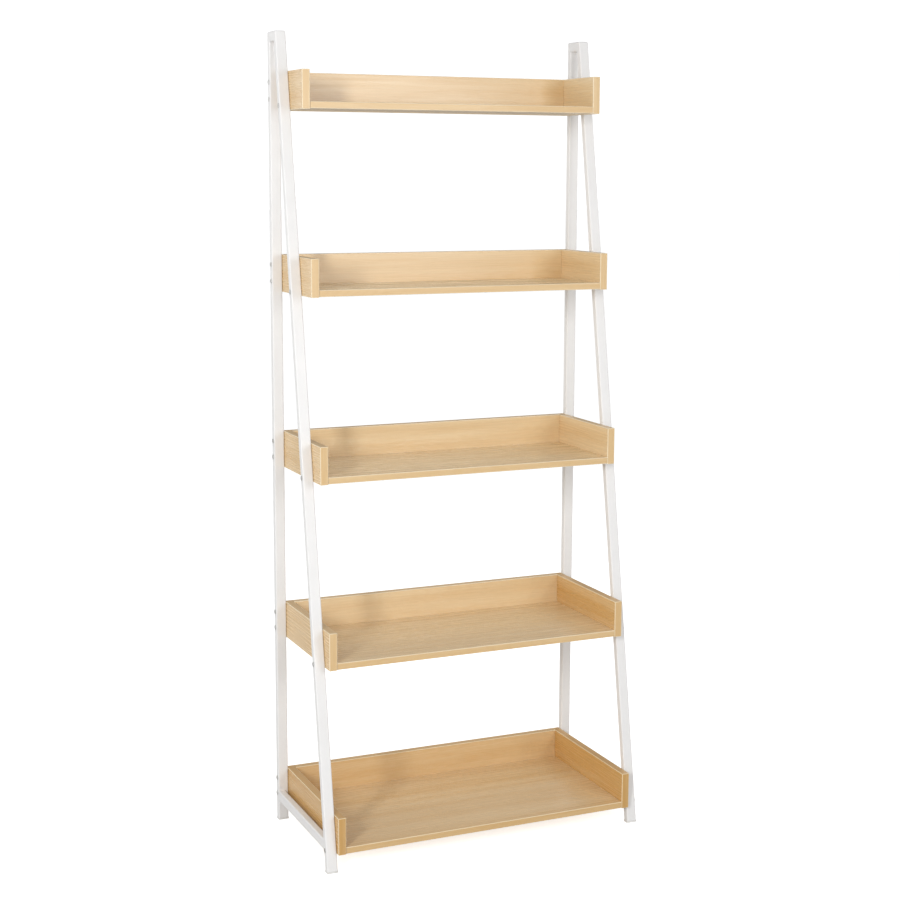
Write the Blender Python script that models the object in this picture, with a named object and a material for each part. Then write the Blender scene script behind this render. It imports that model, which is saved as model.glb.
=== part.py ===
"""Ladder shelf: two welded steel side frames carry five open-fronted board trays.

World frame: +Z up, +X to the right seen from the front, the open front towards -Y.
The origin is the centre of the footprint, on the floor. All lengths are in metres.
"""
import math

import bmesh
import bpy
from mathutils import Vector

# ---------------------------------------------------------------- driving dimensions
HEIGHT = 1.810                 # floor to the top of the side frames
FRAME_WIDTH = 0.768            # over the outer faces of the two side frames
TUBE_WIDTH = 0.024             # steel tube, across the shelf
TUBE_DEPTH = 0.016             # steel tube, front to back
TUBE_WALL = 0.0012
TUBE_RADIUS = 0.0022           # rounded corners of the tube
TOP_BAR_HEIGHT = 0.022         # short bar that joins the legs at the top
FRONT_LEG_REACH_FLOOR = 0.3564  # rear plane to the front leg's front face, at the floor
FRONT_LEG_REACH_TOP = 0.0575   # the same, at the top
RAIL_BOTTOM = 0.0475           # underside of the bottom rail

TIER_COUNT = 5
TIER_PITCH = 0.400             # from one tray to the next
FIRST_TIER_BOTTOM = 0.040
FIRST_TIER_DEPTH = 0.360       # the lowest tray is the deepest
TIER_DEPTH_STEP = 0.049        # each tray above is this much shallower
WALL_HEIGHT = 0.084            # height of a tray's side and back boards
WALL_THICKNESS = 0.018
BOTTOM_THICKNESS = 0.015
BOTTOM_LIFT = 0.0015           # the bottom board sits this far up between the sides
BOARD_ARRIS = 0.0008           # eased edges of the boards

FOOT_LIP = 0.0008              # the plastic foot is this much wider than the tube
FOOT_FLANGE = 0.004
FOOT_SPIGOT = 0.016            # length of the plug inside the tube

SCREW_RADIUS = 0.003
SCREW_LENGTH = 0.070
SCREW_HEAD_RADIUS = 0.0055
SCREW_HEAD_HEIGHT = 0.0010     # thin flat head
SCREW_RIM_SHARE = 0.4          # upright rim of the head, as a share of its height
SCREW_CROWN_SHARE = 0.80       # flat crown of the head, as a share of its radius
SOCKET_RADIUS = 0.0023         # hexagon socket, centre to corner
SOCKET_DEPTH = 0.0018
HOLE_RADIUS = 0.0035           # clearance holes in tube walls and boards
HOLE_PAST_TIP = 0.0006         # the holes go this much deeper than the screws
REAR_SCREW_HEIGHTS = {"upper": 0.0617, "lower": 0.0247}   # above the tray's underside
FRONT_SCREW_HEIGHT = 0.009     # in the middle of the bottom board's thickness

GAP = 0.0003                   # between pieces that touch
SEGMENTS = 12                  # sides of the screws and their holes
CORNER_STEPS = 2               # segments in a tube's rounded corner

# ---------------------------------------------------------------- derived places
OVERALL_DEPTH = FIRST_TIER_DEPTH + FOOT_LIP
REAR = OVERALL_DEPTH / 2 - FOOT_LIP       # rear plane of the legs and back boards
LEG_OUTER = FRAME_WIDTH / 2               # distance of the frame's outer face from X = 0
LEG_INNER = LEG_OUTER - TUBE_WIDTH
WALL_OUTER = LEG_INNER - GAP
WALL_INNER = WALL_OUTER - WALL_THICKNESS
BOTTOM_HALF_WIDTH = WALL_INNER - GAP
LEG_SLOPE = (FRONT_LEG_REACH_FLOOR - FRONT_LEG_REACH_TOP) / HEIGHT
LEG_SECTION_DEPTH = TUBE_DEPTH * math.hypot(1, LEG_SLOPE)   # horizontal cut of the front leg
SIDES = {"left": -1, "right": 1}


def front_leg_face(z):
    """Y of the front leg's front face at height z."""
    return REAR - FRONT_LEG_REACH_FLOOR + LEG_SLOPE * z


def front_leg_centre(z):
    return front_leg_face(z) + LEG_SECTION_DEPTH / 2


def tier_bottom(tier):
    return FIRST_TIER_BOTTOM + (tier - 1) * TIER_PITCH


def tier_front(tier):
    """Y of a tray's front edge."""
    return REAR - FIRST_TIER_DEPTH + (tier - 1) * TIER_DEPTH_STEP


# ---------------------------------------------------------------- scene and materials
def clear_scene():
    for thing in list(bpy.data.objects):
        bpy.data.objects.remove(thing)


def make_material(name, colour, roughness, metallic):
    material = bpy.data.materials.new(name)
    material.use_nodes = True
    shader = material.node_tree.nodes["Principled BSDF"]
    shader.inputs["Base Color"].default_value = (*colour, 1.0)
    shader.inputs["Roughness"].default_value = roughness
    shader.inputs["Metallic"].default_value = metallic
    return material


def place(name, mesh, material):
    """Put a mesh into the scene as a named object."""
    thing = bpy.data.objects.new(name, mesh)
    if not mesh.materials:
        mesh.materials.append(material)
    bpy.context.scene.collection.objects.link(thing)
    return thing


def store_mesh(name, bm):
    mesh = bpy.data.meshes.new(name)
    bm.to_mesh(mesh)
    bm.free()
    return mesh


def finish_mesh(name, bm):
    """Store a mesh with all its faces turned outwards."""
    bmesh.ops.recalc_face_normals(bm, faces=bm.faces)
    return store_mesh(name, bm)


# ---------------------------------------------------------------- shape helpers
def rounded_rectangle(half_width, half_height, radius):
    """Corner points of a rectangle whose corners are short arcs, counter-clockwise."""
    points = []
    for quarter, (sx, sy) in enumerate([(1, 1), (-1, 1), (-1, -1), (1, -1)]):
        for step in range(CORNER_STEPS + 1):
            angle = math.radians(90) * (quarter + step / CORNER_STEPS)
            x = sx * (half_width - radius) + radius * math.cos(angle)
            y = sy * (half_height - radius) + radius * math.sin(angle)
            points.append((x, y))
    return points


def loft(name, rings, closed):
    """Skin a list of equal rings; closed joins the last ring back to the first."""
    bm = bmesh.new()
    loops = [[bm.verts.new(point) for point in ring] for ring in rings]
    count = len(rings[0])
    pairs = list(zip(loops, loops[1:]))
    if closed:
        pairs.append((loops[-1], loops[0]))
    for lower, upper in pairs:
        for i in range(count):
            j = (i + 1) % count
            bm.faces.new((lower[i], lower[j], upper[j], upper[i]))
    if not closed:
        bm.faces.new(loops[0])
        bm.faces.new(loops[-1])
    return finish_mesh(name, bm)


def prism(outline, x_low, x_high):
    """Extrude an outline of (y, z) points along X and return the bmesh."""
    bm = bmesh.new()
    face = bm.faces.new([bm.verts.new((x_low, y, z)) for y, z in outline])
    swept = bmesh.ops.extrude_face_region(bm, geom=[face])
    moved = [item for item in swept["geom"] if isinstance(item, bmesh.types.BMVert)]
    bmesh.ops.translate(bm, verts=moved, vec=(x_high - x_low, 0, 0))
    return bm


def ease_edges(bm, edges, radius, segments):
    bmesh.ops.bevel(bm, geom=edges, offset=radius, segments=segments, profile=0.5, affect="EDGES")


def board(name, low, high, material):
    """A rectangular board with eased edges between two opposite corners."""
    outline = [(low[1], low[2]), (high[1], low[2]), (high[1], high[2]), (low[1], high[2])]
    bm = prism(outline, low[0], high[0])
    ease_edges(bm, bm.edges[:], BOARD_ARRIS, 1)
    return place(name, finish_mesh(name, bm), material)


def cutter(name, mesh):
    thing = bpy.data.objects.new(name, mesh)
    bpy.context.scene.collection.objects.link(thing)
    thing.hide_render = True
    thing.display_type = "WIRE"
    return thing


def subtract(target, tool):
    modifier = target.modifiers.new("cut_" + tool.name, "BOOLEAN")
    modifier.operation = "DIFFERENCE"
    modifier.solver = "EXACT"
    modifier.object = tool


def drill(target, places, x_low, x_high):
    """Drill round holes along X at a list of (y, z) places."""
    bm = bmesh.new()
    for y, z in places:
        made = bmesh.ops.create_cone(
            bm, cap_ends=True, segments=SEGMENTS,
            radius1=HOLE_RADIUS, radius2=HOLE_RADIUS, depth=x_high - x_low)
        for vert in made["verts"]:
            vert.co = Vector(((x_low + x_high) / 2 + vert.co.z, y + vert.co.x, z + vert.co.y))
    name = "holes_{}_{}".format(target.name, len(target.modifiers) + 1)
    subtract(target, cutter(name, store_mesh(name, bm)))


# ---------------------------------------------------------------- screw places
def rear_screw_places(tier):
    """Both rear screws of one tray, each as (level name, y, z)."""
    y = REAR - TUBE_DEPTH / 2
    return [(level, y, tier_bottom(tier) + rise) for level, rise in REAR_SCREW_HEIGHTS.items()]


def front_screw_place(tier):
    z = tier_bottom(tier) + FRONT_SCREW_HEIGHT
    return front_leg_centre(z), z


def all_tiers():
    return range(1, TIER_COUNT + 1)


# ---------------------------------------------------------------- side frames
def rear_leg(side, sign, material):
    """Upright rear tube with the top bar welded on; hollow, open at the foot."""
    foot = FOOT_FLANGE + GAP
    bar_low = HEIGHT - TOP_BAR_HEIGHT
    front = REAR - TUBE_DEPTH
    outline = [
        (REAR, foot), (front, foot), (front, bar_low),
        (front_leg_face(bar_low), bar_low), (front_leg_face(HEIGHT), HEIGHT), (REAR, HEIGHT),
    ]
    x_low, x_high = sorted((sign * LEG_INNER, sign * LEG_OUTER))
    bm = prism(outline, x_low, x_high)

    def stays_sharp(edge):
        ys, zs = zip(*[(vert.co.y, vert.co.z) for vert in edge.verts])
        level = abs(zs[0] - zs[1]) < GAP
        at_foot = level and zs[0] < HEIGHT / 2
        under_bar = level and abs(zs[0] - bar_low) < GAP
        return at_foot or under_bar

    ease_edges(bm, [edge for edge in bm.edges if not stays_sharp(edge)], TUBE_RADIUS, CORNER_STEPS)
    name = side + "_rear_leg"
    leg = place(name, finish_mesh(name, bm), material)

    wall = TUBE_WALL
    bore_low, bore_high = bar_low + wall, HEIGHT - wall
    hollow = [
        (REAR - wall, 0.0), (front + wall, 0.0), (front + wall, bore_low),
        (front_leg_face(bore_low) + wall, bore_low), (front_leg_face(bore_high) + wall, bore_high),
        (REAR - wall, bore_high),
    ]
    void_name = "void_" + name
    void = finish_mesh(void_name, prism(hollow, x_low + wall, x_high - wall))
    subtract(leg, cutter(void_name, void))
    places = [(y, z) for tier in all_tiers() for _, y, z in rear_screw_places(tier)]
    drill(leg, places, x_low - wall, x_high + wall)
    return leg


def front_leg(side, sign, material):
    """Sloping front tube, cut level at the foot and under the top bar, open at both ends."""
    centre_x = sign * (LEG_INNER + LEG_OUTER) / 2
    levels = (FOOT_FLANGE + GAP, HEIGHT - TOP_BAR_HEIGHT - GAP)
    outer = rounded_rectangle(TUBE_WIDTH / 2, LEG_SECTION_DEPTH / 2, TUBE_RADIUS)
    inner = rounded_rectangle(
        TUBE_WIDTH / 2 - TUBE_WALL, LEG_SECTION_DEPTH / 2 - TUBE_WALL, TUBE_RADIUS - TUBE_WALL)
    rings = []
    for section, z in ((outer, levels[0]), (outer, levels[1]), (inner, levels[1]), (inner, levels[0])):
        rings.append([(centre_x + x, front_leg_centre(z) + y, z) for x, y in section])
    name = side + "_front_leg"
    leg = place(name, loft(name, rings, closed=True), material)
    x_low, x_high = sorted((sign * LEG_INNER, sign * LEG_OUTER))
    drill(leg, [front_screw_place(tier) for tier in all_tiers()], x_low - TUBE_WALL, x_high + TUBE_WALL)
    return leg


def bottom_rail(side, sign, material):
    """Tube between the legs just above the floor, flush with the frame's outer face."""
    centre_x = sign * (LEG_OUTER - TUBE_DEPTH / 2)
    centre_z = RAIL_BOTTOM + TUBE_WIDTH / 2
    outer = rounded_rectangle(TUBE_DEPTH / 2, TUBE_WIDTH / 2, TUBE_RADIUS)
    inner = rounded_rectangle(
        TUBE_DEPTH / 2 - TUBE_WALL, TUBE_WIDTH / 2 - TUBE_WALL, TUBE_RADIUS - TUBE_WALL)

    def rear_end(z):
        return REAR - TUBE_DEPTH - GAP

    def front_end(z):
        return front_leg_face(z) + LEG_SECTION_DEPTH + GAP

    rings = []
    for section, end in ((outer, rear_end), (outer, front_end), (inner, front_end), (inner, rear_end)):
        rings.append([(centre_x + x, end(centre_z + z), centre_z + z) for x, z in section])
    name = side + "_bottom_rail"
    return place(name, loft(name, rings, closed=True), material)


def foot(name, centre_x, centre_y, section_depth, slope, material):
    """Plastic foot: a flange under the tube's end and a plug that goes up inside it."""
    def flange(shrink):
        return rounded_rectangle(
            TUBE_WIDTH / 2 + FOOT_LIP - shrink, section_depth / 2 + FOOT_LIP - shrink,
            TUBE_RADIUS + FOOT_LIP)

    clearance = TUBE_WALL + GAP
    plug = rounded_rectangle(
        TUBE_WIDTH / 2 - clearance, section_depth / 2 - clearance, TUBE_RADIUS - TUBE_WALL)
    top = FOOT_FLANGE + FOOT_SPIGOT
    stack = [
        (flange(FOOT_LIP), 0.0), (flange(0), FOOT_LIP), (flange(0), FOOT_FLANGE),
        (plug, FOOT_FLANGE), (plug, top),
    ]
    rings = []
    for section, z in stack:
        shift = slope * max(0.0, z - FOOT_FLANGE)
        rings.append([(centre_x + x, centre_y + shift + y, z) for x, y in section])
    return place(name, loft(name, rings, closed=False), material)


def side_frame(side, sign, paint, plastic):
    rear_leg(side, sign, paint)
    front_leg(side, sign, paint)
    bottom_rail(side, sign, paint)
    centre_x = sign * (LEG_INNER + LEG_OUTER) / 2
    foot(side + "_rear_foot", centre_x, REAR - TUBE_DEPTH / 2, TUBE_DEPTH, 0.0, plastic)
    foot(side + "_front_foot", centre_x, front_leg_centre(FOOT_FLANGE), LEG_SECTION_DEPTH,
         LEG_SLOPE, plastic)


# ---------------------------------------------------------------- trays
def tray(tier, wood):
    """One tray: full-depth side boards, the back board and the bottom board between them."""
    low, high = tier_bottom(tier), tier_bottom(tier) + WALL_HEIGHT
    front = tier_front(tier)
    back_face = REAR - WALL_THICKNESS
    label = "tier_{}_".format(tier)
    rear_places = [(y, z) for _, y, z in rear_screw_places(tier)]
    front_place = front_screw_place(tier)

    for side, sign in SIDES.items():
        x_low, x_high = sorted((sign * WALL_INNER, sign * WALL_OUTER))
        wall = board(label + side + "_side_board", (x_low, front, low), (x_high, REAR, high), wood)
        drill(wall, rear_places + [front_place], x_low - BOARD_ARRIS, x_high + BOARD_ARRIS)

    back = board(label + "back_board", (-BOTTOM_HALF_WIDTH, back_face, low),
                 (BOTTOM_HALF_WIDTH, REAR, high), wood)
    floor_low = low + BOTTOM_LIFT
    floor_board = board(label + "bottom_board", (-BOTTOM_HALF_WIDTH, front, floor_low),
                        (BOTTOM_HALF_WIDTH, back_face - GAP, floor_low + BOTTOM_THICKNESS), wood)
    reach = LEG_OUTER + GAP - SCREW_LENGTH - HOLE_PAST_TIP
    for target, places in ((back, rear_places), (floor_board, [front_place])):
        for sign in SIDES.values():
            x_low, x_high = sorted((sign * reach, sign * WALL_OUTER))
            drill(target, places, x_low, x_high)


# ---------------------------------------------------------------- screws
def screw_mesh(material):
    """Connector screw along X: the head's bearing face at the origin, the shank towards -X."""
    def circle(radius):
        return lambda angle: radius

    def hexagon(angle):
        flat = SOCKET_RADIUS * math.cos(math.radians(30))
        return flat / math.cos((angle + math.radians(30)) % math.radians(60) - math.radians(30))

    chamfer = SCREW_RADIUS / 3
    profile = [
        (-SCREW_LENGTH, circle(SCREW_RADIUS - chamfer)),
        (-SCREW_LENGTH + chamfer, circle(SCREW_RADIUS)),
        (0.0, circle(SCREW_RADIUS)),
        (0.0, circle(SCREW_HEAD_RADIUS)),
        (SCREW_HEAD_HEIGHT * SCREW_RIM_SHARE, circle(SCREW_HEAD_RADIUS)),
        (SCREW_HEAD_HEIGHT, circle(SCREW_HEAD_RADIUS * SCREW_CROWN_SHARE)),
        (SCREW_HEAD_HEIGHT, hexagon),
        (SCREW_HEAD_HEIGHT - SOCKET_DEPTH, hexagon),
    ]
    rings = []
    for x, radius_at in profile:
        ring = []
        for i in range(SEGMENTS):
            angle = math.tau * i / SEGMENTS
            radius = radius_at(angle)
            ring.append((x, radius * math.cos(angle), radius * math.sin(angle)))
        rings.append(ring)
    mesh = loft("connector_screw", rings, closed=False)
    mesh.materials.append(material)
    mesh.shade_smooth()
    mesh.set_sharp_from_angle(angle=math.radians(35))
    return mesh


def screws(steel):
    mesh = screw_mesh(steel)
    for side, sign in SIDES.items():
        for tier in all_tiers():
            label = "tier_{}_{}_".format(tier, side)
            places = [("rear_" + level, y, z) for level, y, z in rear_screw_places(tier)]
            places.append(("front", *front_screw_place(tier)))
            for position, y, z in places:
                screw = place(label + position + "_screw", mesh, steel)
                screw.location = (sign * (LEG_OUTER + GAP), y, z)
                screw.rotation_euler = (0, 0, 0 if sign > 0 else math.pi)


def build():
    clear_scene()
    paint = make_material("white_powder_coat", (0.83, 0.82, 0.80), 0.45, 0.0)
    wood = make_material("beech_melamine_board", (0.62, 0.41, 0.19), 0.45, 0.0)
    plastic = make_material("white_foot_plastic", (0.72, 0.71, 0.69), 0.5, 0.0)
    steel = make_material("zinc_plated_steel", (0.50, 0.50, 0.50), 0.35, 1.0)
    for side, sign in SIDES.items():
        side_frame(side, sign, paint, plastic)
    for tier in all_tiers():
        tray(tier, wood)
    screws(steel)


build()
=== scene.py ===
# %% [markdown]
# # A ladder shelf, finished piece by piece
#
# The shelf is a pair of welded steel side frames with a white powder coat. Each frame is an
# upright rear leg, a front leg that leans back to it, a short bar across the top and a rail
# near the floor. Five open-fronted trays of beech-faced board are screwed between the frames.
# The engineering model already holds every body at its true size. This lesson loads it, takes
# each place from it, and models the pieces again with the roundings, welds, edge bands and
# finishes that the plain bodies leave out.

# %% Load the engineering model
import math
import random

import bmesh
import bpy
from mathutils import Matrix, Vector


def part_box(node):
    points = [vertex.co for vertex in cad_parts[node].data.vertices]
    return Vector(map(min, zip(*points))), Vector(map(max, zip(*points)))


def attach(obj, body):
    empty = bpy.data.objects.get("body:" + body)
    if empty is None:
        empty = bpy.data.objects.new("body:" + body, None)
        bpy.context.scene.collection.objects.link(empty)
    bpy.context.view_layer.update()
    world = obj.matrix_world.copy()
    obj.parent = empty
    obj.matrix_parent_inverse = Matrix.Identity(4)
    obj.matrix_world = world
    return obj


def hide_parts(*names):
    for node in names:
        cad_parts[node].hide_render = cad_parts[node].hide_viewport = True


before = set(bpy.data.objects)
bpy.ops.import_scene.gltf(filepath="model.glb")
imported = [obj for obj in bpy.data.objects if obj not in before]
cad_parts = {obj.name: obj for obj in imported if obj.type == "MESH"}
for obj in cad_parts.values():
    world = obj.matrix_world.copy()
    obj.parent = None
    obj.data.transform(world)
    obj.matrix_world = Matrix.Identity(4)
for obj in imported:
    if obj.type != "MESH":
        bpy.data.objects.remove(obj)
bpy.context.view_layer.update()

# %% [markdown]
# ## Places and sizes
# Everything is in metres, so a small size reads best as a number of millimetres. The places
# of the pieces are read from the bodies, never typed in. Only the stock sizes of the steel
# tube and the board are named here, because they are what a maker would order.

# %% Stock sizes
MM = 0.001
TUBE_DEPTH = 16 * MM
TUBE_WALL = 1.2 * MM
TUBE_ROUNDING = 2.8 * MM
SEAT_GAP = 0.3 * MM
TIERS = (1, 2, 3, 4, 5)
SIDES = ("left", "right")
print("tube", TUBE_DEPTH / MM, "mm deep, wall", TUBE_WALL / MM, "mm")

# %% The slope of the front legs
rear_leg_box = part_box("left_rear_leg")
front_leg_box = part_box("left_front_leg")
rail_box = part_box("left_bottom_rail")
foot_end = front_leg_box[0].z
bar_under = front_leg_box[1].z + SEAT_GAP
lean = (rear_leg_box[0].y - front_leg_box[0].y) / (bar_under - foot_end)
level_cut = TUBE_DEPTH * math.hypot(1, lean)
print("the front legs lean back", round(lean * 1000, 1), "mm for each metre of height")

# %% [markdown]
# ## Working in edit mode from code
# By hand we would click on a face and press a key. Here a small test stands for the click: it
# looks at where a face is and which way it points, or at the two ends of an edge. An operator
# acts on all that is selected, so each helper deselects everything first.

# %% Start from a box
def deselect_everything():
    bpy.ops.object.select_all(action="DESELECT")


def make_active(piece):
    deselect_everything()
    piece.select_set(True)
    bpy.context.view_layer.objects.active = piece


def add_block(name, low, high):
    """A cube primitive at the size and place of the box between two corners."""
    low, high = Vector(low), Vector(high)
    deselect_everything()
    bpy.ops.mesh.primitive_cube_add(size=1.0, location=(low + high) / 2, scale=high - low)
    block = bpy.context.object
    block.name = name
    block.data.name = name
    bpy.ops.object.transform_apply(location=True, rotation=True, scale=True)
    return block


# %% Pick faces and edges by place
def pick(kind, test):
    """In edit mode, select only the faces or edges that pass a test; return how many."""
    bpy.ops.mesh.select_mode(type=kind)
    bpy.ops.mesh.select_all(action="DESELECT")
    mesh = bpy.context.object.data
    shape = bmesh.from_edit_mesh(mesh)
    if kind == "FACE":
        chosen = [f for f in shape.faces if test(f.calc_center_median(), f.normal)]
    else:
        chosen = [e for e in shape.edges if test(e.verts[0].co, e.verts[1].co)]
    for item in chosen:
        item.select_set(True)
    shape.select_flush_mode()
    bmesh.update_edit_mesh(mesh)
    return len(chosen)


def near(a, b, reach=0.02 * MM):
    return abs(a - b) < reach


def cut_at(point, normal, **keep):
    """Cut the whole mesh, in edit mode, with a plane."""
    bpy.ops.mesh.select_all(action="SELECT")
    bpy.ops.mesh.bisect(plane_co=point, plane_no=normal, **keep)


def extrude(move):
    bpy.ops.mesh.extrude_region_move(TRANSFORM_OT_translate={"value": move})


def edit():
    bpy.ops.object.mode_set(mode="EDIT")


def leave_edit():
    bpy.ops.object.mode_set(mode="OBJECT")


# %% Finish a shape
def apply_modifier(piece, kind, **settings):
    make_active(piece)
    modifier = piece.modifiers.new(kind.lower(), kind)
    for name, value in settings.items():
        setattr(modifier, name, value)
    bpy.ops.object.modifier_apply(modifier=modifier.name)


def smooth(piece, degrees=40):
    """Smooth shading that keeps large flats flat: each normal leans to its largest face."""
    make_active(piece)
    bpy.ops.object.shade_smooth_by_angle(angle=math.radians(degrees))
    apply_modifier(piece, "WEIGHTED_NORMAL", mode="FACE_AREA", weight=50, keep_sharp=True)


def copy_of(piece, name):
    """A copy with a mesh of its own."""
    make_active(piece)
    bpy.ops.object.duplicate(linked=False)
    made = bpy.context.object
    made.name = name
    made.data.name = name
    return made


def mirrored_copy(piece, name):
    """The other hand of a piece, across the shelf's middle plane, with its faces put right."""
    made = copy_of(piece, name)
    edit()
    bpy.ops.mesh.select_all(action="SELECT")
    bpy.ops.transform.resize(value=(-1, 1, 1), center_override=(0, 0, 0))
    bpy.ops.mesh.remove_doubles(threshold=0.001 * MM)
    bpy.ops.mesh.normals_make_consistent(inside=False)
    leave_edit()
    return made


def settle(piece, node_names, slot, *finishes):
    """Hide the bodies that a piece stands for, hang it under the root, and give it its finishes.
    """
    for finish in finishes:
        piece.data.materials.append(finish)
    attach(piece, "root")
    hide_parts(*node_names)


# %% [markdown]
# ## Colours and nodes
# Paint and laminate makers give colours as sRGB hex values, while shaders add up light and so
# need linear numbers. One function turns the first into the second. A second function adds a
# shader node with its settings and links, so that a finish reads like a recipe.

# %% Colour and node helpers
def linear(hex_colour):
    """An sRGB hex colour as linear red, green, blue and full alpha."""
    parts = [int(hex_colour[i:i + 2], 16) / 255 for i in (1, 3, 5)]
    curve = [c / 12.92 if c <= 0.04045 else ((c + 0.055) / 1.055) ** 2.4 for c in parts]
    return (*curve, 1.0)


def new_finish(name):
    finish = bpy.data.materials.new(name)
    finish.use_nodes = True
    finish.node_tree.nodes.clear()
    return finish.node_tree, finish


def add_node(tree, kind, settings=None, **inputs):
    """Add a node; an input is a value, or the output socket that feeds it."""
    node = tree.nodes.new(kind)
    for name, value in (settings or {}).items():
        setattr(node, name, value)
    for name, value in inputs.items():
        name = name.replace("_", " ")
        socket = node.inputs[int(name[1:])] if name[1:].isdigit() else node.inputs[name]
        if isinstance(value, bpy.types.NodeSocket):
            tree.links.new(value, socket)
        else:
            socket.default_value = value
    return node


# %% [markdown]
# ## White powder coat
# The frames are steel tube, sprayed with dry polyester powder and baked. The melt levels out
# into a tough satin skin with a fine orange peel, a slow swell of about two millimetres from
# crest to crest. It could be left as one flat white, but then every edge looks like plastic
# in fog. A coat has an IOR near 1.5 and is not metallic: only the steel below is metal. The
# peel is a bump from noise, and a second, wider noise makes thick and thin spots, which change
# the gloss and, hardly visibly, the white. A third, of 6 mm, adds faint specks.

# %% Make the powder coat
def powder_coat():
    tree, finish = new_finish("white_satin_powder_coat")
    place = add_node(tree, "ShaderNodeTexCoord").outputs["Object"]
    peel = add_node(tree, "ShaderNodeTexNoise", Vector=place, Scale=1 / (2.2 * MM), Detail=2.0,
                    Roughness=0.45)
    # the peel's crests are about 2 mm apart; thick and thin spots are as wide as a hand
    drift = add_node(tree, "ShaderNodeTexNoise", Vector=place, Scale=1 / (70 * MM), Detail=3.0,
                     Roughness=0.55)
    specks = add_node(tree, "ShaderNodeTexNoise", Vector=place, Scale=1 / (6 * MM), Detail=4.0,
                      Roughness=0.7)
    tone = add_node(tree, "ShaderNodeMapRange", Value=drift.outputs[0],
                    From_Min=0.3, From_Max=0.7, To_Min=0.0, To_Max=0.75)
    fleck = add_node(tree, "ShaderNodeMapRange", Value=specks.outputs[0],
                     From_Min=0.35, From_Max=0.75, To_Min=0.0, To_Max=0.25)
    amount = add_node(tree, "ShaderNodeMath", {"operation": "ADD", "use_clamp": True},
                      i0=tone.outputs[0], i1=fleck.outputs[0])
    colour = add_node(tree, "ShaderNodeMix", {"data_type": "RGBA"}, Factor=amount.outputs[0],
                      i6=linear("#ECEBEA"), i7=linear("#E8E7E6"))
    gloss = add_node(tree, "ShaderNodeMapRange", Value=drift.outputs[0],
                     From_Min=0.25, From_Max=0.75, To_Min=0.34, To_Max=0.46)
    skin = add_node(tree, "ShaderNodeBump", Height=peel.outputs[0], Strength=0.35,
                    Distance=0.06 * MM)
    shader = add_node(tree, "ShaderNodeBsdfPrincipled", Base_Color=colour.outputs[2],
                      Roughness=gloss.outputs[0], IOR=1.5, Metallic=0.0,
                      Normal=skin.outputs[0])
    add_node(tree, "ShaderNodeOutputMaterial", Surface=shader.outputs[0])
    return finish


white_coat = powder_coat()
print("made", white_coat.name, "with", len(white_coat.node_tree.nodes), "nodes")

# %% [markdown]
# ## Beech-print board
# The trays are particle board with a printed paper face under clear melamine resin. The print
# copies pale beech: a low, slow swing of tone from plank to plank, growth lines that run the
# length of the board and here and there close into long arches, and short fine pores. Melamine
# has an IOR near 1.55 and a satin sheen, pressed from a plate with a very fine wood texture.
#
# The grain has to run along each board, whichever way the board lies, and no two boards should
# show the same part of the print. So each piece gets a UV map in metres: the first number runs
# along the grain and the second across it, and a shift of its own moves it on the print.
# The growth lines are the contour lines of a smooth noise that is stretched along the grain,
# which is why they arch like real ones.

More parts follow.
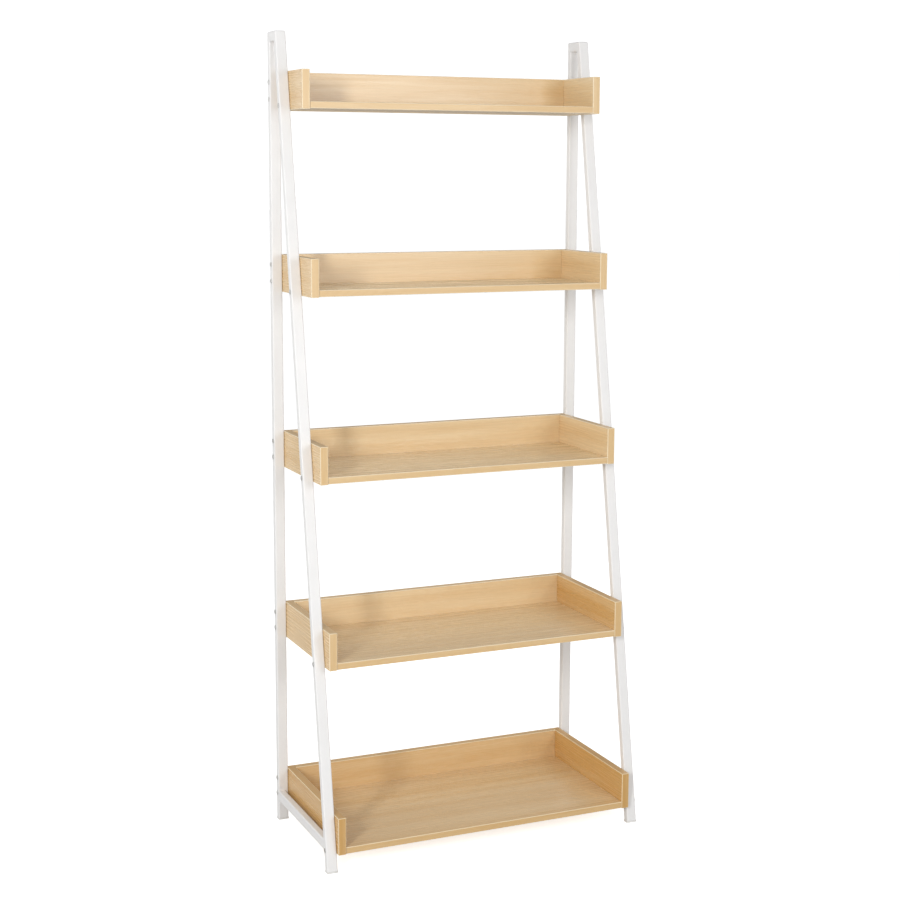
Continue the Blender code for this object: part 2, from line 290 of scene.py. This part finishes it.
# %% Make the print
def beech_print(name, pale, deep, streak, sheen, contrast):
    """Printed melamine. Colours run from the pale wood to the deep; contrast scales it all."""
    tree, finish = new_finish(name)
    grain = add_node(tree, "ShaderNodeUVMap", {"uv_map": "grain"}).outputs[0]
    # the tone attribute holds painted light and shade, set for each board by its tray and its
    # face
    tone = add_node(tree, "ShaderNodeAttribute", {"attribute_name": "tone"}).outputs["Fac"]

    def stretched(length, width, **noise):
        """Noise whose features are so long and so wide, in metres, along and across the grain."""
        size = add_node(tree, "ShaderNodeVectorMath", {"operation": "MULTIPLY"},
                        i0=grain, i1=(1 / length, 1 / width, 0.0))
        return add_node(tree, "ShaderNodeTexNoise", Vector=size.outputs[0], Scale=1.0,
                        **noise).outputs[0]

    flow = stretched(520 * MM, 80 * MM, Detail=1.5, Roughness=0.4)
    planks = stretched(900 * MM, 34 * MM, Detail=2.0, Roughness=0.5)
    across = add_node(tree, "ShaderNodeSeparateXYZ", Vector=grain).outputs["Y"]
    # growth lines about 8 mm apart, bent by the flow into arches up to 100 mm deep, and crowded
    # or spread by the planks
    bent = add_node(tree, "ShaderNodeMath", {"operation": "MULTIPLY_ADD"},
                    i0=flow, i1=0.22, i2=across)
    spread = add_node(tree, "ShaderNodeMath", {"operation": "MULTIPLY_ADD"},
                      i0=planks, i1=0.04, i2=bent.outputs[0])
    phase = add_node(tree, "ShaderNodeMath", {"operation": "MULTIPLY"},
                     i0=spread.outputs[0], i1=math.tau / (8 * MM))
    wave = add_node(tree, "ShaderNodeMath", {"operation": "SINE"}, i0=phase.outputs[0])
    rings = add_node(tree, "ShaderNodeMapRange", {"interpolation_type": "SMOOTHSTEP"},
                     Value=wave.outputs[0], From_Min=-0.6, From_Max=1.0)
    streaks = stretched(180 * MM, 5 * MM, Detail=1.5, Roughness=0.5)
    # a pore is 0.2 mm wide in the print; it is drawn 0.9 mm wide and 14 mm long so that it shows
    pores = stretched(14 * MM, 0.9 * MM, Detail=1.0, Roughness=0.4)

    weights = ((rings.outputs[0], 0.05), (planks, 0.80), (streaks, 0.38))
    total = 0.0
    for source, weight in weights:
        total = add_node(tree, "ShaderNodeMath", {"operation": "MULTIPLY_ADD"},
                         i0=source, i1=weight, i2=total).outputs[0]
    swing = add_node(tree, "ShaderNodeMapRange", Value=total, From_Min=0.35,
                     From_Max=0.88, To_Min=-contrast / 2, To_Max=contrast / 2)
    depth = add_node(tree, "ShaderNodeMath", {"operation": "ADD", "use_clamp": True},
                     i0=swing.outputs[0], i1=tone)
    wood = add_node(tree, "ShaderNodeMix", {"data_type": "RGBA"}, Factor=depth.outputs[0],
                    i6=linear(pale), i7=linear(deep))
    dash = add_node(tree, "ShaderNodeMapRange", Value=pores, From_Min=0.62, From_Max=0.78,
                    To_Min=0.0, To_Max=0.22 * contrast)
    printed = add_node(tree, "ShaderNodeMix", {"data_type": "RGBA"}, Factor=dash.outputs[0],
                       i6=wood.outputs[2], i7=linear(streak))
    gloss = add_node(tree, "ShaderNodeMapRange", Value=streaks, From_Min=0.3, From_Max=0.7,
                     To_Min=sheen - 0.03, To_Max=sheen + 0.03)
    pressed = add_node(tree, "ShaderNodeMath", {"operation": "MULTIPLY_ADD"},
                       i0=pores, i1=-0.6, i2=streaks)
    texture = add_node(tree, "ShaderNodeBump", Height=pressed.outputs[0], Strength=0.15,
                       Distance=0.08 * MM)
    shader = add_node(tree, "ShaderNodeBsdfPrincipled", Base_Color=printed.outputs[2],
                      Roughness=gloss.outputs[0], IOR=1.55, Metallic=0.0,
                      Normal=texture.outputs[0])
    add_node(tree, "ShaderNodeOutputMaterial", Surface=shader.outputs[0])
    return finish


board_face = beech_print("beech_print_melamine", "#EDD8B2", "#CCA060", "#A67C45", 0.27, 0.45)
print("made", board_face.name, "with", len(board_face.node_tree.nodes), "nodes")

# %% [markdown]
# ## Edge band
# The raw edges of particle board are covered by a glued band of ABS plastic, printed like the
# face. Its corners are scraped round after gluing, which cuts through the print and leaves a
# thin cream line along every edge. The line is what makes this board look like real cabinet
# work, so the roundings get a finish of their own: a pale cream that is partly the plain body
# colour of the plastic and partly a painted highlight where the rounded edges catch the light.

# %% Make the band and its scraped corner with a painted highlight
band_face = beech_print("beech_print_edge_band", "#EBD4AB", "#C79B5A", "#A67C45", 0.36, 0.40)
# the roundings: a pale cream that is partly the scraped plastic and partly a painted highlight on
# the rounded edges
scraped_corner_and_highlight = beech_print("scraped_abs_and_painted_highlight", "#F4E8D0", "#E4CEA6", "#D8BE90", 0.5, 0.30)
print("made", band_face.name, "and", scraped_corner_and_highlight.name)

# %% [markdown]
# ## Moulded feet and plated screws
# The feet are white polyethylene, moulded in a spark-eroded tool that leaves a fine matt
# texture. The screws are steel, turned and then bright zinc plated. The plating is thin and of
# a light neutral grey, and the turning leaves rings round the middle of the head. A metal keeps
# the default IOR, and its look comes from its colour and roughness.

# %% Make the plastic and the zinc
def moulded_plastic():
    tree, finish = new_finish("white_moulded_polyethylene")
    place = add_node(tree, "ShaderNodeTexCoord").outputs["Object"]
    # the eroded texture is 0.1 mm fine; it is drawn at 0.8 mm so that it shows
    grit = add_node(tree, "ShaderNodeTexNoise", Vector=place, Scale=1 / (0.8 * MM), Detail=3.0)
    scuff = add_node(tree, "ShaderNodeTexNoise", Vector=place, Scale=1 / (9 * MM), Detail=5.0,
                     Roughness=0.6)
    wear = add_node(tree, "ShaderNodeMapRange", Value=scuff.outputs[0], From_Min=0.4,
                    From_Max=0.8)
    colour = add_node(tree, "ShaderNodeMix", {"data_type": "RGBA"}, Factor=wear.outputs[0],
                      i6=linear("#E9E8E5"), i7=linear("#D6D3CC"))
    gloss = add_node(tree, "ShaderNodeMapRange", Value=scuff.outputs[0], From_Min=0.3,
                     From_Max=0.7, To_Min=0.45, To_Max=0.6)
    texture = add_node(tree, "ShaderNodeBump", Height=grit.outputs[0], Strength=0.4,
                       Distance=0.05 * MM)
    shader = add_node(tree, "ShaderNodeBsdfPrincipled", Base_Color=colour.outputs[2],
                      Roughness=gloss.outputs[0], IOR=1.51, Normal=texture.outputs[0])
    add_node(tree, "ShaderNodeOutputMaterial", Surface=shader.outputs[0])
    return finish


def plated_zinc():
    tree, finish = new_finish("bright_zinc_plated_steel")
    head = add_node(tree, "ShaderNodeUVMap", {"uv_map": "head"}).outputs[0]
    radius = add_node(tree, "ShaderNodeVectorMath", {"operation": "LENGTH"}, i0=head)
    # the turning marks are 0.1 mm apart; they are drawn 0.5 mm apart so that they show
    turns = add_node(tree, "ShaderNodeMath", {"operation": "MULTIPLY"},
                     i0=radius.outputs["Value"], i1=math.tau / (0.5 * MM))
    rings = add_node(tree, "ShaderNodeMath", {"operation": "SINE"}, i0=turns.outputs[0])
    cloud = add_node(tree, "ShaderNodeTexNoise", Vector=head, Scale=1 / (2.5 * MM), Detail=4.0,
                     Roughness=0.6)
    colour = add_node(tree, "ShaderNodeMix", {"data_type": "RGBA"}, Factor=cloud.outputs[0],
                      i6=linear("#E6E6E4"), i7=linear("#CDCCC9"))
    gloss = add_node(tree, "ShaderNodeMapRange", Value=cloud.outputs[0], From_Min=0.3,
                     From_Max=0.7, To_Min=0.34, To_Max=0.50)
    marks = add_node(tree, "ShaderNodeBump", Height=rings.outputs[0], Strength=0.15,
                     Distance=0.02 * MM)
    shader = add_node(tree, "ShaderNodeBsdfPrincipled", Base_Color=colour.outputs[2],
                      Roughness=gloss.outputs[0], Metallic=1.0, Normal=marks.outputs[0])
    add_node(tree, "ShaderNodeOutputMaterial", Surface=shader.outputs[0])
    return finish


foot_white = moulded_plastic()
zinc = plated_zinc()
print("made", foot_white.name, "and", zinc.name)

# %% [markdown]
# ## A welded side frame
# The real frame is four pieces of tube, mitred and welded, with the seams ground flush on the
# faces and a small fillet left in the inner corners. Four separate boxes would show cracks
# where the welds are, so the frame is drawn as one shape: start from the top bar, cut it where
# the legs leave it, pull each leg down, and bridge the rail across. One bevel then rounds the
# outer edges as a tube's corners are and fills the inner corners as a weld does.

# %% Draw the bar and pull down the legs
TRIM = 12 * MM      # extra length, cut square again after the edges are rounded

low, high = rear_leg_box
bar_front = low.y
rear_front = high.y - TUBE_DEPTH
left_frame = add_block("left_side_frame", (low.x, bar_front, bar_under), high)
edit()
pick("EDGE", lambda a, b: near(a.y, bar_front) and near(b.y, bar_front)
     and near(a.z, high.z) and near(b.z, high.z))
bpy.ops.transform.translate(value=(0, lean * (high.z - bar_under), 0))
for cut in (bar_front + level_cut, rear_front):
    cut_at((0, cut, 0), (0, 1, 0))
drop = bar_under - foot_end + TRIM
for first, last, slope in ((bar_front, bar_front + level_cut, lean), (rear_front, high.y, 0)):
    found = pick("FACE", lambda c, n: n.z < -0.9 and first < c.y < last)
    extrude((0, -slope * drop, -drop))
    print("leg pulled down from", found, "face, lean", round(slope, 4))

# %% Bridge the rail and round the edges
RAIL_REACH = 4 * MM     # how far past the rail's ends its two seats on the legs may lie

rail_low, rail_high = rail_box
for cut in (rail_low.z, rail_high.z):
    cut_at((0, 0, cut), (0, 0, 1))
pick("FACE", lambda c, n: rail_low.z < c.z < rail_high.z)
bpy.ops.mesh.bisect(plane_co=(rail_high.x, 0, 0), plane_no=(1, 0, 0))
rail_middle = (rail_low.y + rail_high.y) / 2
ends = pick("FACE", lambda c, n: rail_low.z < c.z < rail_high.z and c.x < rail_high.x
            and (n.y > 0.9 and c.y < rail_middle or n.y < -0.9 and c.y > rail_middle)
            and abs(c.y - rail_middle) < (rail_high.y - rail_low.y) / 2 + RAIL_REACH)
bpy.ops.mesh.bridge_edge_loops()
leave_edit()
apply_modifier(left_frame, "BEVEL", width=TUBE_ROUNDING, segments=4, limit_method="ANGLE",
               angle_limit=math.radians(30), miter_outer="MITER_ARC")
print("rail bridged between", ends, "faces; the frame has",
      len(left_frame.data.polygons), "faces")

# %% [markdown]
# The legs are sawn off square at the bottom, so the ends are cut after the rounding, and each
# end is opened as a real tube is, with a wall of 1.2 mm, to take the plug of its foot.

# %% Saw and open the ends
PLUG_ROOM = 18 * MM

make_active(left_frame)
edit()
cut_at((0, 0, foot_end), (0, 0, 1), clear_inner=True, use_fill=True)
for middle, slope in ((front_leg_box[0].y + level_cut / 2, lean), (high.y - TUBE_DEPTH / 2, 0)):
    pick("FACE", lambda c, n: n.z < -0.9 and near(c.z, foot_end)
         and abs(c.y - middle) < TUBE_DEPTH)
    bpy.ops.mesh.inset(thickness=TUBE_WALL)
    extrude((0, slope * PLUG_ROOM, PLUG_ROOM))
leave_edit()
right_frame = mirrored_copy(left_frame, "right_side_frame")
for side, piece in zip(SIDES, (left_frame, right_frame)):
    smooth(piece)
    stands_for = [f"{side}_{part}" for part in ("rear_leg", "front_leg", "bottom_rail")]
    settle(piece, stands_for, "white_powder_coat", white_coat)
    print(piece.name, "has", len(piece.data.polygons), "faces")

# %% [markdown]
# ## Feet
# A moulded plug is pressed into each leg. What shows is its flange, a little wider than the
# tube, with soft corners and a rounded rim. The flange is a block with its upright edges
# bevelled first and its rims second. The plug is inset from its top and pulled up into the
# tube, following the leg's lean, and the sole has a shallow recess, so that it stands on a rim.

# %% Mould the feet
FLANGE = 4 * MM
LIP = 0.8 * MM
PLUG_LENGTH = 15 * MM
PLUG_TIP = 1.0 * MM
PLUG_TAPER = 0.8 * MM
FOOT_CORNER = 2.6 * MM
TOP_RIM = 0.6 * MM
SOLE_RIM = 1.0 * MM
SOLE_BORDER = 1.6 * MM
SOLE_RECESS = 1.0 * MM


def model_foot(name, node, depth, slope):
    low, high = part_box(node)
    top = low.z + FLANGE
    foot = add_block(name, low, (high.x, low.y + depth, top))
    edit()
    pick("EDGE", lambda a, b: not near(a.z, b.z))
    bpy.ops.mesh.bevel(offset=FOOT_CORNER, segments=5, affect="EDGES")
    pick("EDGE", lambda a, b: near(a.z, top) and near(b.z, top))
    bpy.ops.mesh.bevel(offset=TOP_RIM, segments=3, affect="EDGES")
    pick("EDGE", lambda a, b: near(a.z, low.z) and near(b.z, low.z))
    bpy.ops.mesh.bevel(offset=SOLE_RIM, segments=3, affect="EDGES")
    pick("FACE", lambda c, n: n.z > 0.9 and near(c.z, top))
    bpy.ops.mesh.inset(thickness=LIP + TUBE_WALL + SEAT_GAP - TOP_RIM)
    extrude((0, slope * PLUG_LENGTH, PLUG_LENGTH))
    bpy.ops.mesh.inset(thickness=PLUG_TAPER)
    bpy.ops.transform.translate(value=(0, slope * PLUG_TIP, PLUG_TIP))
    pick("FACE", lambda c, n: n.z < -0.9 and near(c.z, low.z))
    bpy.ops.mesh.inset(thickness=SOLE_BORDER)
    extrude((0, 0, SOLE_RECESS))
    leave_edit()
    return foot


for position, depth, slope in (("rear", TUBE_DEPTH, 0), ("front", level_cut, lean)):
    left_foot = model_foot(f"left_{position}_foot_plug", f"left_{position}_foot",
                           depth + 2 * LIP, slope)
    right_foot = mirrored_copy(left_foot, f"right_{position}_foot_plug")
    for side, piece in zip(SIDES, (left_foot, right_foot)):
        smooth(piece)
        settle(piece, [f"{side}_{position}_foot"], "foot_plastic", foot_white)
    print(position, "feet have", len(left_foot.data.polygons), "faces")

# %% [markdown]
# ## The boards of a tray
# A tray has two side boards at full depth, a back board between them and a bottom board let in
# 1.5 mm above their undersides. Every board is a block with its edges rounded to the radius of
# the scraped band, except at the ends that butt on another board: those are sawn square. The
# faces are then sorted by the way they point: the two broad faces take the print, the narrow
# ones the band, and the roundings the cream of the scraped corner with its painted highlight.
# Each board's faces and bands also get a tone, which the print reads from its faces. The tone is
# painted light and shade: deeper and more golden in the lower trays and on faces lit by bounce
# from the wood, and paler on tray floors seen at a grazing angle, where a sheen shows.

# %% Cut a board and sort its faces
CORNER_RADIUS = 1.3 * MM
AXES = {"x": 0, "y": 1, "z": 2}


def model_board(name, node, thickness_axis, butted):
    low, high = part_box(node)
    board = add_block(name, low, high)
    planes = [(AXES[end[1]], (high if end[0] == "+" else low)[AXES[end[1]]]) for end in butted]
    edit()
    pick("EDGE", lambda a, b: not any(near(a[axis], place) and near(b[axis], place)
                                      for axis, place in planes))
    bpy.ops.mesh.bevel(offset=CORNER_RADIUS, segments=3, affect="EDGES")
    leave_edit()
    for finish in (board_face, band_face, scraped_corner_and_highlight):
        board.data.materials.append(finish)
    for face in board.data.polygons:
        flat = max(abs(part) for part in face.normal) > 0.999
        broad = abs(face.normal[AXES[thickness_axis]]) > 0.999
        face.material_index = 2 if not flat else 0 if broad else 1
    return board


# %% Lay the grain
FACE_STEP = 0.31     # so that no two sides of a board show the same part of the print


def lay_grain(board, along, shift):
    """A UV map in metres: first along the grain, then across it, moved by the piece's shift."""
    mesh = board.data
    for layer in list(mesh.uv_layers):
        mesh.uv_layers.remove(layer)
    layer = mesh.uv_layers.new(name="grain")
    run = AXES[along]
    for face in mesh.polygons:
        normal = [abs(part) for part in face.normal]
        facing = normal.index(max(normal))
        flow = AXES["z"] if facing == run else run     # the bands at the ends run upwards
        side = ({0, 1, 2} - {facing, flow}).pop()
        for corner in face.loop_indices:
            place = mesh.vertices[mesh.loops[corner].vertex_index].co
            across = place[side] + shift[1] + facing * FACE_STEP
            layer.data[corner].uv = (place[flow] + shift[0], across)


# %% Build all twenty boards
BOARDS = (     # part, axis through the board, axis along the grain, ends that butt on another
    ("bottom_board", "z", "x", ("-x", "+x", "+y")),
    ("back_board", "y", "x", ("-x", "+x")),
    ("left_side_board", "x", "y", ()),
    ("right_side_board", "x", "y", ()),
)
PAINTED_TRAY_LIGHT = {      # for each tray the painted light and shade of its boards' faces and of their bands, as above
    1: ((0.52, 0.72), (0.66, 0.66), (0.90, 0.85), (1.00, 0.90)),
    2: ((0.34, 0.54), (0.34, 0.34), (0.52, 0.54), (0.80, 0.70)),
    3: ((0.22, 0.42), (0.34, 0.34), (0.52, 0.50), (0.42, 0.46)),
    4: ((0.08, 0.58), (0.38, 0.38), (0.50, 0.50), (0.40, 0.48)),
    5: ((0.30, 0.54), (0.46, 0.36), (0.50, 0.44), (0.28, 0.40)),
}


def paint_tray_light(board, face_light_and_shade, band_light_and_shade):
    """Keep a painted tone for every face, from 0 for the pale wood to 1 for the deep: light and
    shade painted into the board.
    """
    kept = board.data.attributes.new("tone", "FLOAT", "FACE")
    for face, value in zip(board.data.polygons, kept.data):
        value.value = face_light_and_shade if face.material_index == 0 else band_light_and_shade


choose = random.Random(7)
for tier in TIERS:
    for (part, thickness_axis, along, butted), painted_tones in zip(BOARDS, PAINTED_TRAY_LIGHT[tier]):
        node = f"tier_{tier}_{part}"
        board = model_board(f"tray_{tier}_{part}", node, thickness_axis, butted)
        shift = (choose.uniform(3, 40), choose.uniform(3, 40))
        lay_grain(board, along, shift)
        # paints light and shade into the board's faces and bands
        paint_tray_light(board, *painted_tones)
        smooth(board)
        settle(board, [node], "beech_board")
    print("tray", tier, "has", len(BOARDS), "boards")

# %% [markdown]
# ## Connector screws
# Each tray hangs on six connector screws with thin flat heads and a hexagon socket. One is
# turned from a cylinder: its rim is rounded, its back is inset and pulled out into the shank,
# and the socket is cut with a six-sided tool. It is then copied to each place, each copy with
# a mesh of its own and its socket turned a little, because nobody stops a key at the same
# angle twice.

# %% Turn one screw
SHANK_RADIUS = 3 * MM
SHANK_TIP = 1 * MM
SOCKET_RADIUS = 2.3 * MM
SOCKET_DEPTH = 1.8 * MM
HEAD_ROUNDING = 0.6     # as a share of the head's height


def model_screw(node):
    low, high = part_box(node)
    head_radius = (high.z - low.z) / 2
    head_height = rear_leg_box[0].x - SEAT_GAP - low.x
    deselect_everything()
    bpy.ops.mesh.primitive_cylinder_add(
        vertices=48, radius=head_radius, depth=head_height, location=(-head_height / 2, 0, 0),
        rotation=(0, math.radians(90), 0))
    screw = bpy.context.object
    screw.name = "screw_pattern"
    bpy.ops.object.transform_apply(location=True, rotation=True, scale=True)
    edit()
    pick("EDGE", lambda a, b: near(a.x, -head_height) and near(b.x, -head_height))
    bpy.ops.mesh.bevel(offset=HEAD_ROUNDING * head_height, segments=4, affect="EDGES")
    pick("FACE", lambda c, n: n.x > 0.9 and near(c.x, 0))
    bpy.ops.mesh.inset(thickness=head_radius - SHANK_RADIUS)
    extrude((high.x - low.x - head_height - SHANK_TIP, 0, 0))
    bpy.ops.mesh.inset(thickness=SHANK_TIP)
    bpy.ops.transform.translate(value=(SHANK_TIP, 0, 0))
    leave_edit()
    deselect_everything()
    bpy.ops.mesh.primitive_cylinder_add(
        vertices=6, radius=SOCKET_RADIUS, depth=2 * SOCKET_DEPTH, location=(-head_height, 0, 0),
        rotation=(0, math.radians(90), 0))
    key = bpy.context.object
    apply_modifier(screw, "BOOLEAN", operation="DIFFERENCE", solver="EXACT", object=key)
    bpy.data.objects.remove(key)
    return screw


pattern = model_screw("tier_1_left_rear_upper_screw")
head_map = pattern.data.uv_layers.active
head_map.name = "head"
for loop in pattern.data.loops:
    place = pattern.data.vertices[loop.vertex_index].co
    head_map.data[loop.index].uv = (place.y, place.z)
print("one screw has", len(pattern.data.polygons), "faces")

# %% Copy the screw to its thirty places
left_seat = rear_leg_box[0].x - SEAT_GAP


def place_screw(node, side):
    low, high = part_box(node)
    name = node.replace("_screw", "_connector")
    screw = copy_of(pattern, name) if side == "left" else mirrored_copy(pattern, name)
    seat = left_seat if side == "left" else -left_seat
    edit()
    bpy.ops.mesh.select_all(action="SELECT")
    bpy.ops.transform.rotate(value=choose.uniform(0, math.radians(60)), orient_axis="X",
                             center_override=(0, 0, 0))
    bpy.ops.transform.translate(
        value=(seat, (low.y + high.y) / 2, (low.z + high.z) / 2))
    leave_edit()
    smooth(screw, 30)
    settle(screw, [node], "zinc_plated_steel", zinc)


for tier in TIERS:
    for side in SIDES:
        for position in ("rear_upper", "rear_lower", "front"):
            place_screw(f"tier_{tier}_{side}_{position}_screw", side)
bpy.data.objects.remove(pattern)
print("screws placed on", len(TIERS), "trays")

# %% [markdown]
# ## Floor, light and surroundings
# A white studio is mostly bounce. The lamps are big soft boxes, so that no edge of a shadow is
# sharp: a key at the front left and a little above the shelf, whose light runs into the trays
# and lays the left front leg's shadow on the back boards, weaker ones from the front and the
# left that keep the white tubes from turning grey, and two behind, left and right, for the
# back. The room itself is dim near the horizon and brighter overhead.
#
# A floor that is truly white would throw so much light up that the undersides glow.
# Real studios meet this with a paper floor that is lit well behind the object only. Here the
# floor is pale when it is seen directly and a middle grey when it only bounces light.

# %% Lay the floor
FLOOR_RADIUS = 60
FLOOR_BOUNCE = (0.5, 0.5, 0.5, 1)
PAPER_GLOW = 0.66
DULL_GLOW = 0.2

deselect_everything()
bpy.ops.mesh.primitive_circle_add(vertices=96, radius=FLOOR_RADIUS, fill_type="NGON")
floor = bpy.context.object
floor.name = "studio_floor"
tree, pale_floor = new_finish("pale_matt_floor")
place = add_node(tree, "ShaderNodeTexCoord").outputs["Object"]
grit = add_node(tree, "ShaderNodeTexNoise", Vector=place, Scale=3.0, Detail=3.0).outputs[0]
tone = add_node(tree, "ShaderNodeMix", {"data_type": "RGBA"}, Factor=grit,
                i6=linear("#F8F8F8"), i7=linear("#F5F5F5")).outputs[2]
paper = add_node(tree, "ShaderNodeBsdfDiffuse", Color=tone).outputs[0]
paper_glow = add_node(tree, "ShaderNodeEmission", Strength=PAPER_GLOW).outputs[0]
seen_floor = add_node(tree, "ShaderNodeAddShader", i0=paper, i1=paper_glow).outputs[0]
dull = add_node(tree, "ShaderNodeBsdfDiffuse", Color=FLOOR_BOUNCE).outputs[0]
dull_glow = add_node(tree, "ShaderNodeEmission", Strength=DULL_GLOW).outputs[0]
bounce_floor = add_node(tree, "ShaderNodeAddShader", i0=dull, i1=dull_glow).outputs[0]
seen = add_node(tree, "ShaderNodeLightPath").outputs["Is Camera Ray"]
both = add_node(tree, "ShaderNodeMixShader", i0=seen, i1=bounce_floor, i2=seen_floor).outputs[0]
add_node(tree, "ShaderNodeOutputMaterial", Surface=both)
floor.data.materials.append(pale_floor)
print("floor laid, radius", FLOOR_RADIUS, "m")

# %% Light the surroundings
HORIZON_GLOW = 0.24
OVERHEAD_GLOW = 0.42
SEEN_BACKDROP = 1.15

world = bpy.data.worlds.new("white_studio")
bpy.context.scene.world = world
world.use_nodes = True
tree = world.node_tree
tree.nodes.clear()
direction = add_node(tree, "ShaderNodeTexCoord").outputs["Generated"]
height = add_node(tree, "ShaderNodeSeparateXYZ", Vector=direction).outputs["Z"]
glow = add_node(tree, "ShaderNodeMapRange", {"interpolation_type": "SMOOTHSTEP"}, Value=height,
                From_Min=0.0, From_Max=0.45, To_Min=HORIZON_GLOW, To_Max=OVERHEAD_GLOW).outputs[0]
seen = add_node(tree, "ShaderNodeLightPath").outputs["Is Camera Ray"]
strength = add_node(tree, "ShaderNodeMix", {"data_type": "FLOAT"}, Factor=seen, i2=glow,
                    i3=SEEN_BACKDROP).outputs[0]
backdrop = add_node(tree, "ShaderNodeBackground", Color=(1, 1, 1, 1), Strength=strength)
add_node(tree, "ShaderNodeOutputWorld", Surface=backdrop.outputs[0])
print("surroundings lit")

# %% Set up the soft boxes
SOFT_BOXES = (     # name, bearing in degrees, distance, height, width, tall, watts
    ("key_soft_box", -46.8, 4.4, 2.16, 0.55, 1.2, 86),
    ("front_right_soft_box", 20, 3.6, 1.7, 1.0, 1.2, 30),
    ("front_left_soft_box", -15, 3.6, 1.5, 2.0, 2.2, 14),
    ("left_soft_box", -85, 5.0, 1.6, 3.0, 2.6, 29),
    ("back_left_soft_box", -140, 3.8, 2.0, 2.0, 2.2, 20),
    ("back_right_soft_box", 112, 3.8, 2.0, 2.0, 2.2, 30),
)
AIM = Vector((0, 0, 1.2))

for name, bearing, distance, high_up, width, tall, watts in SOFT_BOXES:
    lamp = bpy.data.lights.new(name, "AREA")
    lamp.shape = "RECTANGLE"
    lamp.size = width
    lamp.size_y = tall
    lamp.energy = watts
    stand = bpy.data.objects.new(name, lamp)
    bpy.context.scene.collection.objects.link(stand)
    turn = math.radians(bearing)
    stand.location = (math.sin(turn) * distance, -math.cos(turn) * distance, high_up)
    stand.rotation_euler = (AIM - stand.location).to_track_quat("-Z", "Y").to_euler()
    print(name, "stands", distance, "m away, bearing", bearing)

# %% [markdown]
# ## Camera
# The view is from the left and from a standing person's height, looking slightly down, with a
# moderately long lens that keeps the uprights nearly upright. The slight shift does what the
# rise of a view camera does: it moves the view without tilting it further.

# %% Place the camera
SENSOR_WIDTH = 36
FOCAL_LENGTH = 67.854
RISE = -0.0204
CAMERA_PLACE = (-1.5471, -3.4775, 1.5157)
HEADING = -23.705     # degrees, turned to the right of straight ahead
LOOKING_DOWN = 8.824
LEVEL_ERROR = 0.204

camera = bpy.data.objects.new("camera", bpy.data.cameras.new("camera"))
bpy.context.scene.collection.objects.link(camera)
camera.data.sensor_width = SENSOR_WIDTH
camera.data.lens = FOCAL_LENGTH
camera.data.shift_y = RISE
camera.location = CAMERA_PLACE
turn = Matrix.Rotation(math.radians(HEADING), 4, "Z")
tilt = Matrix.Rotation(math.radians(90 - LOOKING_DOWN), 4, "X")
roll = Matrix.Rotation(math.radians(LEVEL_ERROR), 4, "Z")
camera.rotation_euler = (turn @ tilt @ roll).to_euler()
bpy.context.scene.camera = camera
bpy.context.scene.view_settings.view_transform = "Standard"
print("camera at", camera.location)
